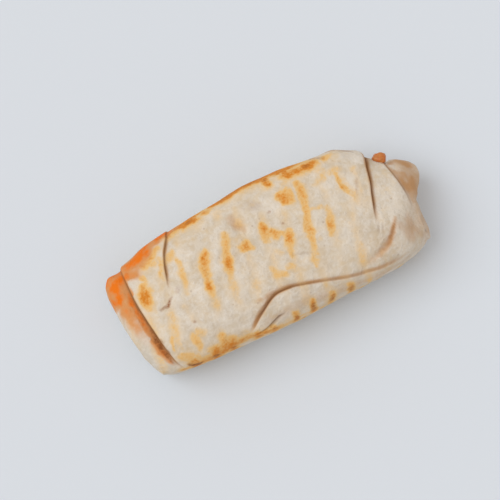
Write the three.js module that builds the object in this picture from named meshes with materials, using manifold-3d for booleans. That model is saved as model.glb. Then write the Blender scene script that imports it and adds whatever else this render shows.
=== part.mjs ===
// A grilled burrito lying on its flat underside: one flour tortilla rolled round its filling.
// Millimetres, +Z up. X runs along the roll and the origin is under its middle, on the table.
// The tortilla's free edge, the seam, crosses the top on the -Y side, and both ends are tucked in.
//
// The tortilla is one closed skin over a grid. A point of the skin has a place along the roll (x)
// and an angle round it (0 is the +Y side, 90 the top, 180 the -Y side, 270 the underside).
// Where one layer ends on top of another, the grid is carried round the layer's edge as a fold.
import * as THREE from "three";
import Module from "manifold-3d";
import { mergeVertices } from "three/addons/utils/BufferGeometryUtils.js";

const RAD = Math.PI / 180;

// Outline of the roll: [x, value] pairs, joined by a smooth curve.
const backSide = through([[-80, 28.4], [-75, 29.4], [-68, 30.8], [-62, 32.6], [-50, 34.6], [-38, 36],
  [-20, 36.3], [10, 37.9], [38, 35.4], [52, 32.8], [57, 30.6], [64, 27.8], [69, 23], [74, 19.4], [79, 16.8]]);
const frontSide = through([[-80, -31], [-76, -33], [-70, -34.3], [-63, -34.9], [-51, -36.2], [-39, -36.8],
  [-20, -37.5], [5, -37.2], [34, -37.6], [52, -37.2], [64, -36], [70, -34.8], [75, -33], [79, -30.8]]);
const topHeight = through([[-88, 36], [-76, 39.5], [-55, 43], [-10, 44.6], [30, 44.2],
  [58, 42], [72, 38], [80, 32.5], [91, 24]]);
const WIDEST_LEVEL = 0.45; // share of the height at which the roll is widest
const TOP_SQUARENESS = 3.0; // superellipse exponents of the section: pressed top, flat underside
const BOTTOM_SQUARENESS = 3.4;
const SAG_BELOW_TABLE = 1.0; // how far the free section would hang under the table that flattens it

// The tucked ends. Each closes on a slit, set back between two rounded lips. The slit gives the
// height of the closing line at each y and the outline the x that the end reaches there; the right
// end has a corner of the inner layers that stands out past the wrap, undercut below its slit.
const LEFT_END = {
  start: -79.6,
  outline: through([[-31, -80.4], [-29, -81.4], [-25, -83.2], [-19, -85.2], [-4.5, -87.6],
    [5.5, -88.4], [15.6, -88.6], [22, -87.4], [26, -84.8], [29, -81.5]]),
  slit: through([[-31, 17.5], [-12, 25], [12, 15], [29, 18]]),
  hollow: 2.6,
  undercut: 0,
};
const RIGHT_END = {
  start: 78,
  outline: through([[-31, 79.6], [-26, 80.8], [-19, 81.2], [-12, 81.4], [-7, 84], [-2, 88.2], [3, 90.6],
    [6, 90.9], [10, 89], [13, 84.6], [16, 79.6]]),
  slit: through([[-31, 15.5], [-16, 14], [0, 20], [10, 18], [18, 16]]),
  hollow: 0.2,
  undercut: 6,
};
const END_LENGTH = 10; // how much of the running length each end takes, whatever it reaches
const END_SQUARENESS = 2.7;
const HOLLOW_WIDTH = 0.25; // share of the height, beside a slit, that the hollow takes
const HOLLOW_FROM = [1, 8]; // how far the end reaches where the hollow starts and is complete
const END_CROWDING = 1.4; // how much closer together the columns lie towards a slit
const END_RELIEF = 0.5; // share of the relief that the ends take

// Folds that cross the roll: x of the visible edge at each angle, and how far each one is turned
// under there, from 0 (smooth) to 1. The lower layer lies on the side that toward points to.
const LAYER = { edge: 1.1, throat: 0.5, tuck: 0.8, most: 0.62 };
const LEFT_RIM = {
  ...LAYER,
  toward: -1,
  reach: 2.4,
  place: around([[0, -75.2], [31, -76.1], [45, -76.4], [64, -76.7], [93, -76], [121, -74.8], [136, -73.7],
    [149, -72.3], [158, -70.7], [164, -69.4], [200, -69], [270, -72]]),
  turn: around([[0, 0.35], [22, 0.5], [50, 0.9], [70, 1], [140, 1], [150, 0.6], [158, 0.25], [166, 0],
    [200, 0], [300, 0.2]]),
};
const LEFT_PLEAT = {
  ...LAYER,
  edge: 0.8,
  toward: 1,
  reach: 2.2,
  place: around([[0, -43.6], [28, -46.6], [35, -48.8], [43, -51.8], [53, -54.3], [64, -56], [76, -57.6],
    [110, -59], [200, -57], [300, -48]]),
  turn: around([[0, 0.3], [14, 0.45], [30, 0.6], [56, 0.7], [82, 0], [290, 0], [330, 0.2]]),
};
const RIGHT_PLEAT = {
  ...LAYER,
  edge: 0.9,
  toward: 1,
  reach: 2.4,
  place: around([[0, 66.8], [20, 66.8], [35, 65.6], [48, 63.5], [65, 61.2], [79, 59], [95, 56.8], [115, 54.2],
    [122, 53.4], [150, 53.6], [200, 57], [300, 62]]),
  turn: around([[0, 0.9], [40, 1], [92, 0.85], [121, 0], [290, 0], [330, 0.5]]),
};
const RIGHT_RIM = {
  ...LAYER,
  edge: 0.8,
  toward: 1,
  reach: 2,
  place: around([[0, 73.6], [40, 74.2], [58, 74.8], [88, 75.8], [117, 76], [140, 75], [200, 74],
    [300, 73.6]]),
  turn: around([[0, 0.4], [30, 0.5], [75, 0.45], [104, 0.2], [125, 0], [300, 0.2]]),
};
const PLEAT_RECOVERY = 14; // distance over which the skin beside a pleat comes back up

// The seam: the angle of the wrap's free edge at each x. The layer that ends there lies on top.
const SEAM = {
  ...LAYER,
  edge: 0.9,
  toward: -1,
  reach: 2.8,
  angle: through([[-75, 166], [-50, 165], [-36, 162.5], [-22, 144.6], [-9, 135.8], [-2, 136.8], [5, 139.9],
    [15, 144.6], [27, 150.6], [36, 154.3], [44, 156], [56, 156.4], [78, 157]]),
  turn: through([[-32, 0], [-27, 0.5], [-19, 1], [-6, 0.9], [4, 0.6], [14, 0.45], [40, 0.4], [52, 0.3],
    [62, 0]]),
  recovery: 20,
};
const SEAM_MIDDLE = 155; // the angle that the rows are laid out from
const SEAM_PULL = 115; // how many degrees away from the seam the rows still follow it
const ROUNDS = 4; // times that a point's angle and place along the roll are matched to each other
const HALVINGS = 20; // steps of the search for the angle that lies at a given y
const SEAM_MARGIN = 1.05; // room kept for the rows that cross the seam, as a share of what they need

// Creases and hollows pressed into the skin.
// The main panel bends down into an arc near the right end, where the flap beyond it swells up.
const RIM_CREASE = {
  x: 41,
  y: -7,
  radius: 23,
  middle: -52, // bearing from its centre, in degrees, and how far it runs to either side
  half: 46,
  dip: 0.9,
  dipReach: 4,
  swell: 1.5,
  swellReach: 7,
  width: 4,
};
const RELIEF_FADE = 0.25; // share of the height, above the widest level, over which the relief starts
const DENTS = [
  // x, y, radius along x and y, and depth (a swelling where it is negative)
  { x: 75, y: -24, rx: 8, ry: 9, depth: 4.5 },
  { x: -11, y: 19, rx: 5, ry: 6, depth: 1 },
  { x: 53, y: 31, rx: 6, ry: 8, depth: -1.2 },
  { x: 30, y: 2, rx: 20, ry: 15, depth: -0.8 },
  { x: -35, y: 0, rx: 22, ry: 16, depth: -0.8 },
  { x: 2, y: 8, rx: 14, ry: 12, depth: 0.8 },
];

// How finely the grid is laid: steps along the roll and round it.
const FOLD_STEPS = { high: 1, edge: 2, tuck: 1, throat: 1, low: 1 };
const STEPS = { end: 8, leftBand: 1, leftPanel: 5, main: 17, rightPanel: 3, rightBand: 1, round: 58 };

const CRUMB = { x: 72.8, y: 17.0, z: 30, length: 7.2, width: 5.8, height: 5.8, gap: 0.3 };

// A smooth curve through [position, value] pairs, flat beyond the first and the last. It turns
// back only at a pair, so it never runs over the values on either side.
function through(pairs) {
  const rate = (i) => (pairs[i + 1][1] - pairs[i][1]) / (pairs[i + 1][0] - pairs[i][0]);
  const slope = (i) => {
    if (i === 0 || i === pairs.length - 1) return 0;
    const [a, b] = [rate(i - 1), rate(i)];
    return a * b > 0 ? (2 * a * b) / (a + b) : 0;
  };
  return (at) => {
    const x = Math.min(Math.max(at, pairs[0][0]), pairs[pairs.length - 1][0]);
    let i = 0;
    while (i < pairs.length - 2 && x > pairs[i + 1][0]) i++;
    const [[x0, v0], [x1, v1]] = [pairs[i], pairs[i + 1]];
    const span = x1 - x0;
    const t = (x - x0) / span;
    const [s0, s1] = [slope(i) * span, slope(i + 1) * span];
    const rise = v1 - v0;
    return v0 + t * (s0 + t * (3 * rise - 2 * s0 - s1 + t * (s0 + s1 - 2 * rise)));
  };
}

// The same for a value that depends on the angle round the roll and joins up after a full turn.
function around(pairs) {
  const turned = [-360, 0, 360].flatMap((by) => pairs.map(([angle, v]) => [angle + by, v]));
  const curve = through(turned);
  return (angle) => curve(((angle % 360) + 360) % 360);
}

function smoothStep(from, to, x) {
  const t = Math.min(Math.max((x - from) / (to - from), 0), 1);
  return t * t * (3 - 2 * t);
}

// A point of the roll's section at x, at an angle, with its layers thinned by inset.
function section(x, angle, inset) {
  const [back, front, top] = [backSide(x), frontSide(x), topHeight(x)];
  const middle = (back + front) / 2;
  const level = WIDEST_LEVEL * top;
  const [c, s] = [Math.cos(angle * RAD), Math.sin(angle * RAD)];
  const power = s > 0 ? TOP_SQUARENESS : BOTTOM_SQUARENESS;
  const halfWidth = (back - front) / 2 - inset;
  const halfHeight = (s > 0 ? top - level : level + SAG_BELOW_TABLE) - inset;
  const radius = (Math.abs(c / halfWidth) ** power + Math.abs(s / halfHeight) ** power) ** (-1 / power);
  return { x, y: middle + radius * c, z: level + radius * s };
}

const endAt = (x) => (x < LEFT_END.start ? LEFT_END : x > RIGHT_END.start ? RIGHT_END : null);
// 0 at an end's shoulder, 1 at its slit
const shareOfEnd = (end, x) => Math.min(Math.abs(x - end.start) / END_LENGTH, 1);

// The same for any place along the skin, tucked ends included.
function skin(x, angle, inset) {
  const end = endAt(x);
  if (!end) return section(x, angle, inset);
  const shoulder = section(end.start, angle, inset);
  const slit = end.slit(shoulder.y);
  const below = Math.max(1 - shoulder.z / slit, 0);
  const turned = shareOfEnd(end, x) * 90 * RAD;
  const across = Math.cos(turned) ** (2 / END_SQUARENESS);
  const along = Math.sin(turned) ** ((2 / END_SQUARENESS) * (1 + end.undercut * below));
  const reach = end.outline(shoulder.y) - end.start;
  const hollow = Math.sign(reach) * end.hollow * smoothStep(...HOLLOW_FROM, Math.abs(reach));
  const place = end.start + reach * along - hollow * Math.exp(-((across / HOLLOW_WIDTH) ** 2));
  const lowered = topHeight(place) / topHeight(end.start);
  return { x: place, y: shoulder.y, z: slit + (shoulder.z * lowered - slit) * across };
}

// The path of the skin across a fold, from the upper layer round its edge to the lower layer:
// distances past the edge (t) and below the upper layer (n), spread over 2 * reach.
function foldPath(fold, turn) {
  const steps = [];
  const add = (count, length, from, to) => {
    for (let k = 0; k < count; k++)
      steps.push([length / count, from + ((to - from) * (k + 0.5)) / count]);
  };
  const tuck = fold.tuck * turn;
  const most = Math.PI * fold.most * turn;
  add(FOLD_STEPS.high, fold.reach - fold.edge, 0, 0);
  add(FOLD_STEPS.edge, Math.PI * fold.edge, 0, most);
  add(FOLD_STEPS.tuck, tuck + 0.01, most, most);
  add(FOLD_STEPS.throat, Math.PI * fold.throat, most, 0);
  add(FOLD_STEPS.low, fold.reach + tuck + fold.edge, 0, 0);
  const path = [{ t: 0, n: 0 }];
  for (const [length, bent] of steps) {
    const last = path[path.length - 1];
    path.push({ t: last.t + length * Math.cos(bent), n: last.n + length * Math.sin(bent) });
  }
  const scale = (2 * fold.reach) / path[path.length - 1].t;
  return path.map(({ t, n }) => ({ t: t * scale - fold.reach, n: n * scale }));
}

// One column of the grid: for each angle, its place along the roll and its inset there.
// Beside a fold, stretch gives the columns between two places; across it, foldColumns does.
function stretch(from, to, count, inset) {
  return Array.from({ length: count }, (_, k) => (angle) => {
    const x = from(angle) + ((to(angle) - from(angle)) * (k + 0.5)) / count;
    return { x, inset: inset(x, angle) };
  });
}

function foldColumns(fold, under) {
  const count = Object.values(FOLD_STEPS).reduce((a, b) => a + b) + 1;
  const columns = Array.from({ length: count }, (_, k) => (angle) => {
    const { t, n } = foldPath(fold, fold.turn(angle))[k];
    const x = fold.place(angle) + fold.toward * t;
    return { x, inset: n + under(x, angle) };
  });
  return fold.toward > 0 ? columns : columns.reverse();
}

const drop = (fold, angle) => foldPath(fold, fold.turn(angle)).at(-1).n;
const before = (fold) => (angle) => fold.place(angle) - fold.reach;
const after = (fold) => (angle) => fold.place(angle) + fold.reach;
const fixed = (x) => () => x;
const level = () => 0;

// The skin just past a pleat is lower by the pleat's drop, and comes back up over a distance.
function pastPleat(fold) {
  return (x, angle) => {
    const past = Math.max(x - fold.place(angle) - fold.reach, 0);
    return drop(fold, angle) * (1 - smoothStep(0, PLEAT_RECOVERY, past));
  };
}

// Columns from a shoulder to its slit.
function endColumns(end, side, inset) {
  return Array.from({ length: STEPS.end }, (_, k) => {
    const share = 1 - (1 - (k + 1) / STEPS.end) ** END_CROWDING;
    const x = end.start + side * END_LENGTH * share;
    return (angle) => ({ x, inset: inset(x, angle) });
  });
}

function gridColumns() {
  const underLeft = (x, angle) => drop(LEFT_RIM, angle);
  const underRight = (x, angle) => drop(RIGHT_RIM, angle) + pastPleat(RIGHT_PLEAT)(x, angle);
  return [
    ...endColumns(LEFT_END, -1, underLeft).reverse(),
    ...stretch(fixed(LEFT_END.start), before(LEFT_RIM), STEPS.leftBand, underLeft),
    ...foldColumns(LEFT_RIM, level),
    ...stretch(after(LEFT_RIM), before(LEFT_PLEAT), STEPS.leftPanel, level),
    ...foldColumns(LEFT_PLEAT, level),
    ...stretch(after(LEFT_PLEAT), before(RIGHT_PLEAT), STEPS.main, pastPleat(LEFT_PLEAT)),
    ...foldColumns(RIGHT_PLEAT, level),
    ...stretch(after(RIGHT_PLEAT), before(RIGHT_RIM), STEPS.rightPanel, pastPleat(RIGHT_PLEAT)),
    ...foldColumns(RIGHT_RIM, pastPleat(RIGHT_PLEAT)),
    ...stretch(after(RIGHT_RIM), fixed(RIGHT_END.start), STEPS.rightBand, underRight),
    ...endColumns(RIGHT_END, 1, underRight),
  ];
}

// One row of the grid: the angle at each x, and how far it is lifted by the seam's upper layer.
function gridRows() {
  const crossing = foldPath(SEAM, 1).map((_, k) => (x) => {
    const path = foldPath(SEAM, SEAM.turn(x));
    const { t, n } = path[path.length - 1 - k]; // from the lower layer to the upper one
    const perDegree = girthPerDegree(x, SEAM.angle(x));
    return { angle: SEAM.angle(x) + (SEAM.toward * t) / perDegree, lift: path.at(-1).n - n };
  });
  let least = girthPerDegree(0, SEAM_MIDDLE);
  for (let x = LEFT_END.start; x < RIGHT_END.start; x++)
    least = Math.min(least, girthPerDegree(x, SEAM.angle(x)));
  const reachAngle = (SEAM_MARGIN * SEAM.reach) / least;
  const first = SEAM_MIDDLE + reachAngle;
  const last = SEAM_MIDDLE - reachAngle + 360;
  const rest = Array.from({ length: STEPS.round }, (_, k) => {
    const nominal = evenAngle(first, last, (k + 1) / (STEPS.round + 1));
    const away = Math.min(nominal - SEAM_MIDDLE, SEAM_MIDDLE + 360 - nominal);
    const pull = Math.max(1 - away / SEAM_PULL, 0);
    const upper = nominal < SEAM_MIDDLE + 180;
    return (x) => {
      const angle = nominal + (SEAM.angle(x) - SEAM_MIDDLE) * pull;
      const past = Math.max((angle - SEAM.angle(x)) * girthPerDegree(x, angle) - SEAM.reach, 0);
      const height = foldPath(SEAM, SEAM.turn(x)).at(-1).n;
      return { angle, lift: upper ? height * Math.exp(-past / SEAM.recovery) : 0 };
    };
  });
  return [...crossing, ...rest];
}

// Length along the section's outline for each degree.
function girthPerDegree(x, angle) {
  const [p, q] = [section(x, angle - 0.5, 0), section(x, angle + 0.5, 0)];
  return Math.hypot(q.y - p.y, q.z - p.z);
}

// The angle that lies at a share of the way round the middle section, from one angle to another.
function evenAngle(from, to, share) {
  const lengths = [0];
  for (let a = from; a < to; a++) lengths.push(lengths.at(-1) + girthPerDegree(0, a + 0.5));
  const wanted = share * lengths.at(-1);
  const i = lengths.findIndex((length) => length > wanted) - 1;
  return from + i + (wanted - lengths[i]) / (lengths[i + 1] - lengths[i]);
}

// Height added to the upper side of the skin by its creases and hollows.
function relief({ x, y, z }) {
  const upper = smoothStep(WIDEST_LEVEL, WIDEST_LEVEL + RELIEF_FADE, z / topHeight(x));
  const dents = DENTS.map((d) => d.depth * Math.exp(-(((x - d.x) / d.rx) ** 2) - ((y - d.y) / d.ry) ** 2));
  const { x: cx, y: cy, radius, middle, half, width } = RIM_CREASE;
  const outside = Math.hypot(x - cx, y - cy) - radius;
  const bearing = Math.atan2(y - cy, x - cx) / RAD;
  const near = 1 - smoothStep(half * 0.5, half, Math.abs(bearing - middle));
  const inner = -RIM_CREASE.dip * Math.exp(Math.min(outside, 0) / RIM_CREASE.dipReach);
  const outer = RIM_CREASE.swell * Math.exp(-Math.max(outside, 0) / RIM_CREASE.swellReach);
  const step = inner + (outer - inner) * smoothStep(-width / 2, width / 2, outside);
  return upper * (near * step - dents.reduce((a, b) => a + b));
}

// How far each row turns on its way to an end's slit. The rows above the slit spread over the whole
// top, and each one below it goes to the y of the row that it meets there.
function meetingTurns(end, ring, first) {
  const count = ring.length;
  const turns = ring.map(() => 0);
  const yAt = (angle) => section(end.start, angle, 0).y;
  const half = Math.floor(count / 2);
  const turnedAt = (k) => ring[(first - k + count) % count] - (k > first ? 360 : 0);
  for (let k = 0; k <= half; k++) {
    const spread = Math.min(180 - ((180 - turnedAt(k)) * 180) / (180 - turnedAt(half)), 180);
    turns[(first - k + count) % count] = spread - turnedAt(k);
    const y = yAt(spread);
    let [low, high] = [180, 360];
    for (let halving = 0; halving < HALVINGS; halving++) {
      const mid = (low + high) / 2;
      if (yAt(mid) < y) low = mid;
      else high = mid;
    }
    turns[(first + k) % count] = (low + high) / 2 - ring[(first + k) % count];
  }
  return turns;
}

function skinPoint(column, row, turnAt) {
  // The row's angle depends on x through the seam, and the column's x on the angle through its fold.
  let place = { x: 0, inset: 0 };
  let turned = row(0);
  for (let round = 0; round < ROUNDS; round++) {
    turned = row(place.x);
    place = column(turned.angle);
  }
  const x = place.x;
  const angle = turned.angle + turnAt(x);
  const inset = column(angle).inset;
  const p = skin(x, angle, inset);
  const [q, r] = [skin(x, angle - 0.5, inset), skin(x, angle + 0.5, inset)];
  const size = Math.hypot(r.y - q.y, r.z - q.z) || 1;
  const ended = endAt(x) !== null;
  const raised = ended ? END_RELIEF * relief(p) : turned.lift + relief(p);
  const y = p.y + ((r.z - q.z) / size) * raised;
  const z = p.z - ((r.y - q.y) / size) * raised;
  return new THREE.Vector3(p.x, y, Math.max(z, 0));
}

function tortillaGeometry() {
  const [columns, rows] = [gridColumns(), gridRows()];
  const count = rows.length;
  const closing = new Map();
  for (const end of [LEFT_END, RIGHT_END]) {
    const ring = rows.map((row) => row(end.start).angle);
    const first = ring.findIndex((angle) => angle > 180);
    closing.set(end, { first, turns: meetingTurns(end, ring, first) });
  }
  const turnAt = (j) => (x) => {
    const end = endAt(x);
    return end ? closing.get(end).turns[j] * smoothStep(0, 1, shareOfEnd(end, x)) : 0;
  };
  const points = columns.flatMap((column) => rows.map((row, j) => skinPoint(column, row, turnAt(j))));
  const index = [];
  // In the two slits the rows below the closing line share the points of the rows above it.
  const slits = new Map([
    [0, closing.get(LEFT_END).first],
    [columns.length - 1, closing.get(RIGHT_END).first],
  ]);
  const at = (i, j) => {
    const widest = slits.get(i) ?? 0;
    const past = (j - widest + count) % count;
    const shared = slits.has(i) && past < count / 2;
    return i * count + (shared ? (widest - past + count) % count : j % count);
  };
  for (let i = 0; i < columns.length - 1; i++)
    for (let j = 0; j < count; j++) {
      const [a, b, c, d] = [at(i, j), at(i + 1, j), at(i + 1, j + 1), at(i, j + 1)];
      const shorter = points[a].distanceTo(points[c]) < points[b].distanceTo(points[d]);
      index.push(...(shorter ? [a, d, c, a, c, b] : [a, d, b, b, d, c]));
    }
  const geometry = new THREE.BufferGeometry().setFromPoints(points);
  geometry.setIndex(withoutFlats(index));
  geometry.computeVertexNormals();
  return geometry;
}

// The triangles of an index that have three different corners.
function withoutFlats(index) {
  const kept = [];
  for (let k = 0; k < index.length; k += 3) {
    const [a, b, c] = index.slice(k, k + 3);
    if (a !== b && b !== c && c !== a) kept.push(a, b, c);
  }
  return kept;
}

// A morsel of sauce-coated filling caught outside the tuck: an uneven lump, cut clear of the tortilla.
function crumbShape() {
  const ball = new THREE.IcosahedronGeometry(0.5, 3);
  const p = ball.getAttribute("position");
  const v = new THREE.Vector3();
  for (let i = 0; i < p.count; i++) {
    v.fromBufferAttribute(p, i);
    const lumps = 1 + 0.12 * Math.sin(9 * v.x + 2) * Math.sin(8 * v.y) + 0.1 * Math.sin(11 * v.z + 7 * v.x);
    v.multiplyScalar(lumps);
    p.setXYZ(i, v.x * CRUMB.length, v.y * CRUMB.width, v.z * CRUMB.height);
  }
  ball.translate(CRUMB.x, CRUMB.y, CRUMB.z);
  return ball;
}

function solidFrom(wasm, geometry) {
  const bare = geometry.clone();
  bare.deleteAttribute("normal");
  bare.deleteAttribute("uv");
  const merged = mergeVertices(bare, 1e-4);
  const vertProperties = new Float32Array(merged.getAttribute("position").array);
  const triVerts = new Uint32Array(merged.index.array);
  return new wasm.Manifold(new wasm.Mesh({ numProp: 3, vertProperties, triVerts }));
}

function geometryFrom(solid) {
  const mesh = solid.getMesh();
  const geometry = new THREE.BufferGeometry();
  geometry.setAttribute("position", new THREE.BufferAttribute(mesh.vertProperties, 3));
  geometry.setIndex(new THREE.BufferAttribute(mesh.triVerts, 1));
  geometry.computeVertexNormals();
  return geometry;
}

const toasted = new THREE.MeshStandardMaterial({ color: 0xd9cbb0, roughness: 0.8, metalness: 0 });
const saucy = new THREE.MeshStandardMaterial({ color: 0xc96f2e, roughness: 0.45, metalness: 0 });

const wasm = await Module();
wasm.setup();
const skinShape = tortillaGeometry();
const crumb = solidFrom(wasm, crumbShape());
// Shifting the tortilla by the gap along each axis and cutting with all of them keeps the crumb clear.
const shifts = [[1, 0, 0], [-1, 0, 0], [0, 1, 0], [0, -1, 0], [0, 0, 1], [0, 0, -1]];
const clear = shifts.reduce((left, shift) => {
  const moved = skinShape.clone().translate(...shift.map((s) => s * CRUMB.gap));
  return left.subtract(solidFrom(wasm, moved));
}, crumb);

const tortilla = new THREE.Mesh(skinShape, toasted);
tortilla.name = "tortilla";
const filling = new THREE.Mesh(geometryFrom(clear), saucy);
filling.name = "filling_crumb";

// The roll is centred over the origin, so that it stands on the middle of its own box.
const burrito = new THREE.Group();
burrito.add(tortilla, filling);
const middle = new THREE.Box3().setFromObject(tortilla).getCenter(new THREE.Vector3());
for (const mesh of burrito.children) mesh.position.set(-middle.x, -middle.y, 0);

export default burrito;
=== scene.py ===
import math
import bpy
import numpy as np
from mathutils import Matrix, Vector

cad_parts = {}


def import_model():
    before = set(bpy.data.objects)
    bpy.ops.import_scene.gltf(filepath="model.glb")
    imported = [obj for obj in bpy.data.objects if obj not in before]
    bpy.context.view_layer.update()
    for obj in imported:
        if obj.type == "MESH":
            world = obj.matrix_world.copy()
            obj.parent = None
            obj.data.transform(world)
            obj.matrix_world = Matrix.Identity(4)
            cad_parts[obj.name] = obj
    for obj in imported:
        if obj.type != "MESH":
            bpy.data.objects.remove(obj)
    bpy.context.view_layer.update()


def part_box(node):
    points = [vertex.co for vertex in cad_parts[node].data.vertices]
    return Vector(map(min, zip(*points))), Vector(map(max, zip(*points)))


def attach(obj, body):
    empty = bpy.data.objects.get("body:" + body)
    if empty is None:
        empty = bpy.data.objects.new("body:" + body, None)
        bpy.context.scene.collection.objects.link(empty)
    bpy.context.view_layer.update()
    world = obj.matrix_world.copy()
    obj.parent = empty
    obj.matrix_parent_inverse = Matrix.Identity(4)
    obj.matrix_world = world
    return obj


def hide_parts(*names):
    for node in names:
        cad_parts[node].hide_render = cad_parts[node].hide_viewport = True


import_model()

mm = 0.001  # the shapes are worked out in millimetres and put into the mesh in metres

# The roll lies along x. A point of its skin has a place along it and an angle round it, in degrees:
# 0 is the +y side, 90 the top, 180 the -y side with the seam, 270 the underside.
rollForm = {
    "back": [[-80, 28.4], [-75, 29.4], [-68, 30.8], [-62, 32.6], [-50, 34.6], [-38, 36], [-20, 36.3],
             [10, 37.9], [38, 35.4], [52, 32.8], [57, 30.6], [64, 27.8], [69, 23], [74, 19.4], [79, 16.8]],
    "front": [[-80, -31], [-76, -33], [-70, -34.3], [-63, -34.9], [-51, -36.2], [-39, -36.8],
              [-20, -37.5], [5, -37.2], [34, -37.6], [52, -37.2], [64, -36], [70, -34.8], [75, -33],
              [79, -30.8]],
    "top": [[-88, 36], [-76, 39.5], [-55, 43], [-10, 44.6], [30, 44.2],
            [58, 42], [72, 38], [80, 32.5], [91, 24]],
    "widestLevel": 0.45,  # share of the height at which the roll is widest
    "topSquareness": 3.0,  # exponents of the section's two halves
    "bottomSquareness": 3.4,
    "sag": 1.0,  # how far the free section would hang below the table
    "endLength": 10,  # running length that each end takes
    "endSquareness": 2.7,
    "hollowWidth": 0.25,  # share of the height, beside a slit, that the hollow takes
}
leftEnd = {
    "start": -79.6,
    "outline": [[-31, -80.4], [-29, -81.4], [-25, -83.2], [-19, -85.2], [-4.5, -87.6],
                [5.5, -88.4], [15.6, -88.6], [22, -87.4], [26, -84.8], [29, -81.5]],
    "slit": [[-31, 17.5], [-12, 25], [12, 15], [29, 18]],
    "hollow": 2.6,
    "undercut": 0,
}
rightEnd = {
    "start": 78,
    "outline": [[-31, 79.6], [-26, 80.8], [-19, 81.2], [-12, 81.4], [-7, 84], [-2, 88.2],
                [3, 90.6], [6, 90.9], [10, 89], [13, 84.6], [16, 79.6]],
    "slit": [[-31, 15.5], [-16, 14], [0, 20], [10, 18], [18, 16]],
    "hollow": 0.2,
    "undercut": 6,
}
# Folds across the roll: where the edge lies at each angle and how far it is turned under there.
# how far each fold's dark painted shade and its tan band of painted shade reach past its edge
layer = {"edge": 0.7, "throat": 0.35, "tuck": 0.8, "most": 0.66, "gape": 0.6, "gapeWidth": 0.8,
         "shadeWidth": 0.6, "shadeBandReach": 1.8}
leftRim = {
    **layer, "edge": 1.1, "toward": -1, "reach": 2.4, "gape": 1.2, "gapeWidth": 2.2,
    "place": [[0, -75.2], [31, -76.1], [45, -76.4], [64, -76.7], [93, -76], [121, -74.8], [136, -73.7],
              [149, -72.3], [158, -70.7], [164, -69.4], [200, -69], [270, -72]],
    "turn": [[0, 0.35], [22, 0.5], [50, 0.9], [70, 1], [140, 1], [150, 0.6], [158, 0.25], [166, 0],
             [300, 0], [330, 0.2]],
}
leftPleat = {
    **layer, "edge": 0.5, "throat": 0.25, "tuck": 0.5, "toward": 1, "reach": 2, "gape": 0.1,
    "place": [[0, -43.6], [28, -46.6], [35, -48.8], [43, -51.8], [53, -54.3], [64, -56], [76, -57.6],
              [110, -59], [200, -57], [300, -48]],
    "turn": [[0, 0.3], [14, 0.45], [30, 0.6], [56, 0.7], [82, 0], [290, 0], [330, 0.2]],
}
rightPleat = {
    **layer, "edge": 0.65, "throat": 0.3, "tuck": 0.6, "toward": 1, "reach": 2.4, "gape": 0.35,
    "place": [[0, 66.8], [20, 66.8], [35, 65.6], [48, 63.5], [65, 61.2], [79, 59], [95, 56.8],
              [115, 54.2], [122, 53.4], [150, 53.6], [200, 57], [300, 62]],
    "turn": [[0, 0.9], [40, 1], [92, 0.85], [121, 0], [290, 0], [330, 0.5]],
}
rightRim = {
    **layer, "edge": 0.8, "toward": 1, "reach": 2, "gape": 0.2,
    "place": [[0, 73.6], [40, 74.2], [58, 74.8], [88, 75.8], [117, 76], [140, 75], [200, 74],
              [300, 73.6]],
    "turn": [[0, 0.4], [30, 0.5], [75, 0.45], [104, 0.2], [125, 0], [300, 0.2]],
}
pleatRecovery = 14  # distance over which the skin past a pleat comes back up
seam = {
    **layer, "edge": 0.7, "toward": -1, "reach": 2.8, "gape": 0.3,
    "angle": [[-75, 166], [-50, 165], [-36, 162.5], [-22, 144.6], [-9, 135.8], [-2, 136.8], [5, 139.9],
              [15, 144.6], [27, 150.6], [36, 154.3], [44, 156], [56, 156.4], [78, 157]],
    "turn": [[-32, 0], [-27, 0.5], [-19, 1], [-6, 0.9], [4, 0.6], [14, 0.45], [40, 0.4], [52, 0.3], [62, 0]],
    "recovery": 20, "middle": 155, "pull": 115,
    # along x, how far the tan band of painted shade reaches past the seam's edge
    "shadeBandReach": [[-20, 2.9], [-8, 2.6], [2, 1.5], [30, 1.5], [44, 2], [60, 1.4]],
}
rimCrease = {"x": 41, "y": -7, "radius": 23, "middle": -52, "half": 46,
             "dip": 0.8, "dipReach": 4, "swell": 1.5, "swellReach": 7, "width": 3.6}
dents = [  # x, y, radius along x and y, depth
    (75, -24, 8, 9, 4.5), (-11, 19, 5, 6, 1), (53, 31, 6, 8, -1.2),
    (30, 2, 20, 15, -0.8), (-35, 0, 22, 16, -0.8), (2, 8, 14, 12, 0.8),
]
grid = {
    "foldSteps": {"high": 3, "edge": 7, "tuck": 2, "throat": 4, "low": 4},
    "end": 27, "leftBand": 5, "leftPanel": 28, "main": 148, "rightPanel": 22, "rightBand": 3,
    "round": 254, "underDensity": 0.45,
    "shadeSteps": 5,  # steps before a fold's hidden part over which its shade sets in
    "rounds": 4,  # times that the rows' angles and the columns' x are fitted to each other
}


def smoothStep(low, high, x):
    # 0 below low, 1 above high, and 3t^2 - 2t^3 between them
    t = np.clip((x - low) / (high - low), 0, 1)
    return t * t * (3 - 2 * t)


def through(pairs):
    # cubic through the pairs whose slope at each is the harmonic mean of its neighbours' rates,
    # or 0 where they turn back
    at, value = np.array(pairs, float).T
    rate = np.diff(value) / np.diff(at)
    product, total = rate[:-1] * rate[1:], rate[:-1] + rate[1:]
    inner = np.where(product > 0, 2 * product / np.where(total == 0, 1, total), 0)
    slope = np.concatenate([[0], inner, [0]])

    def curve(x):
        x = np.clip(x, at[0], at[-1])
        i = np.clip(np.searchsorted(at, x) - 1, 0, len(at) - 2)
        span, rise = at[i + 1] - at[i], value[i + 1] - value[i]
        t, s0, s1 = (x - at[i]) / span, slope[i] * span, slope[i + 1] * span
        return value[i] + t * (s0 + t * (3 * rise - 2 * s0 - s1 + t * (s0 + s1 - 2 * rise)))
    return curve


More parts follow.
